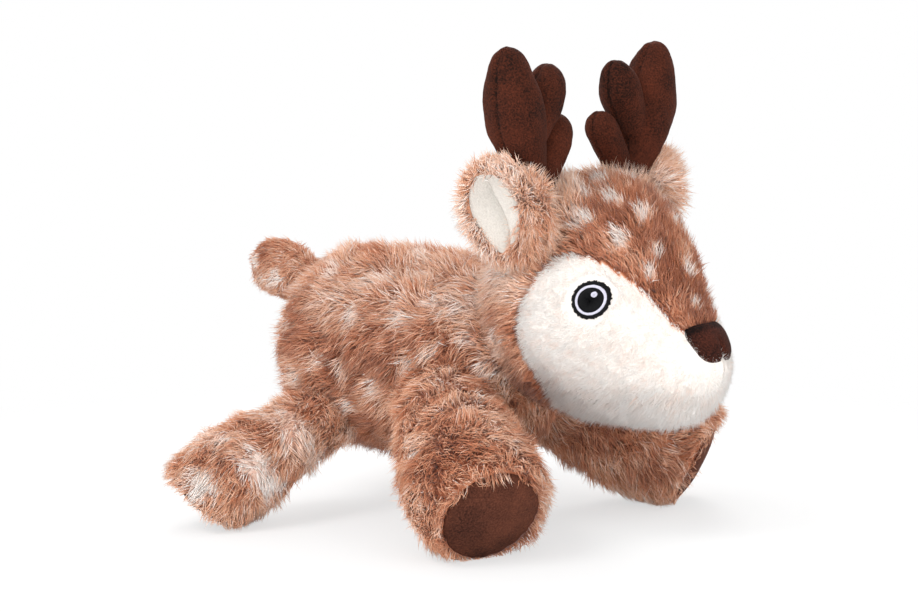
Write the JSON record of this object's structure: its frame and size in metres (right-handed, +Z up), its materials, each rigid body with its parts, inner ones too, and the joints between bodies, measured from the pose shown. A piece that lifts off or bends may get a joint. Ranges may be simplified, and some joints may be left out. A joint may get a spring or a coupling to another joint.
{
  "type": "plush deer",
  "caption": "Stuffed toy deer with velour antlers, cupped ears, a white face with embroidered eyes, splayed legs and a short tail.",
  "frame": {"origin": "on the floor, under the middle of the toy's bounding box", "axes": "+X forward to the nose, +Y to the deer's left, +Z up"},
  "size_m": [0.2908, 0.2476, 0.2326],
  "materials": {
    "long_plush": "long combed pile, dull",
    "white_plush": "short dense pile, dull",
    "stuffing": "loose fibre, dull",
    "nose_velour": "short nap, dull",
    "antler_velour": "short nap, dull",
    "pad_velour": "short nap, dull",
    "lining_velour": "short nap, dull",
    "dark_thread": "satin stitch, slight sheen",
    "pale_thread": "satin stitch, slight sheen"
  },
  "bodies": {
    "torso": {"torso_skin": "long_plush", "torso_fill": "stuffing"},
    "head": {"head_skin": "long_plush", "head_fill": "stuffing", "nose": "nose_velour", "face_panel_right": "white_plush", "face_panel_left": "white_plush", "eye_ring_right": "dark_thread", "eye_ring_left": "dark_thread", "eye_white_right": "pale_thread", "eye_white_left": "pale_thread", "eye_pupil_right": "dark_thread", "eye_pupil_left": "dark_thread", "eye_glint_right": "pale_thread", "eye_glint_left": "pale_thread"},
    "tail": {"tail_skin": "long_plush", "tail_fill": "stuffing"},
    "ear_right": {"ear_back_right": "long_plush", "ear_lining_right": "lining_velour"},
    "antler_right": {"antler_skin_right": "antler_velour", "antler_fill_right": "stuffing"},
    "foreleg_right": {"foreleg_skin_right": "long_plush", "foreleg_fill_right": "stuffing", "foreleg_pad_right": "pad_velour"},
    "hindleg_right": {"hindleg_skin_right": "long_plush", "hindleg_fill_right": "stuffing", "hindleg_pad_right": "pad_velour"},
    "ear_left": {"ear_back_left": "long_plush", "ear_lining_left": "lining_velour"},
    "antler_left": {"antler_skin_left": "antler_velour", "antler_fill_left": "stuffing"},
    "foreleg_left": {"foreleg_skin_left": "long_plush", "foreleg_fill_left": "stuffing", "foreleg_pad_left": "pad_velour"},
    "hindleg_left": {"hindleg_skin_left": "long_plush", "hindleg_fill_left": "stuffing", "hindleg_pad_left": "pad_velour"}
  },
  "joints": [
    {"name": "head_seam", "type": "hinge", "parent": "torso", "child": "head", "pos_m": [0.03867, 0, 0.1023], "axis": [0, 1, 0], "range_deg": [-8, 8], "stiffness_Nm_per_rad": 1.2},
    {"name": "tail_seam", "type": "hinge", "parent": "torso", "child": "tail", "pos_m": [-0.10192, 0, 0.106], "axis": [0, 1, 0], "range_deg": [-16, 16], "stiffness_Nm_per_rad": 0.03},
    {"name": "ear_right_seam", "type": "hinge", "parent": "head", "child": "ear_right", "pos_m": [0.05802, -0.04518, 0.13732], "axis": [0.9962, 0.0872, 0], "range_deg": [0, 14], "stiffness_Nm_per_rad": 0.02},
    {"name": "ear_left_seam", "type": "hinge", "parent": "head", "child": "ear_left", "pos_m": [0.05802, 0.04518, 0.13732], "axis": [-0.9962, 0.0872, 0], "range_deg": [0, 14], "stiffness_Nm_per_rad": 0.02},
    {"name": "antler_right_seam", "type": "hinge", "parent": "head", "child": "antler_right", "pos_m": [0.0636, -0.03244, 0.15702], "axis": [1, 0, 0], "range_deg": [-7, 0], "stiffness_Nm_per_rad": 0.05},
    {"name": "antler_left_seam", "type": "hinge", "parent": "head", "child": "antler_left", "pos_m": [0.0636, 0.03244, 0.15702], "axis": [-1, 0, 0], "range_deg": [-7, 0], "stiffness_Nm_per_rad": 0.05},
    {"name": "foreleg_right_seam", "type": "hinge", "parent": "torso", "child": "foreleg_right", "pos_m": [0.01211, -0.03954, 0.05836], "axis": [0.7323, 0.681, 0], "range_deg": [-10, 10], "stiffness_Nm_per_rad": 0.8},
    {"name": "foreleg_left_seam", "type": "hinge", "parent": "torso", "child": "foreleg_left", "pos_m": [0.01211, 0.03954, 0.05836], "axis": [-0.7323, 0.681, 0], "range_deg": [-10, 10], "stiffness_Nm_per_rad": 0.8},
    {"name": "hindleg_right_seam", "type": "hinge", "parent": "torso", "child": "hindleg_right", "pos_m": [-0.06644, -0.03887, 0.04981], "axis": [0.9914, -0.1312, 0], "range_deg": [-10, 10], "stiffness_Nm_per_rad": 0.6},
    {"name": "hindleg_left_seam", "type": "hinge", "parent": "torso", "child": "hindleg_left", "pos_m": [-0.06644, 0.03887, 0.04981], "axis": [-0.9914, -0.1312, 0], "range_deg": [-10, 10], "stiffness_Nm_per_rad": 0.6}
  ]
}
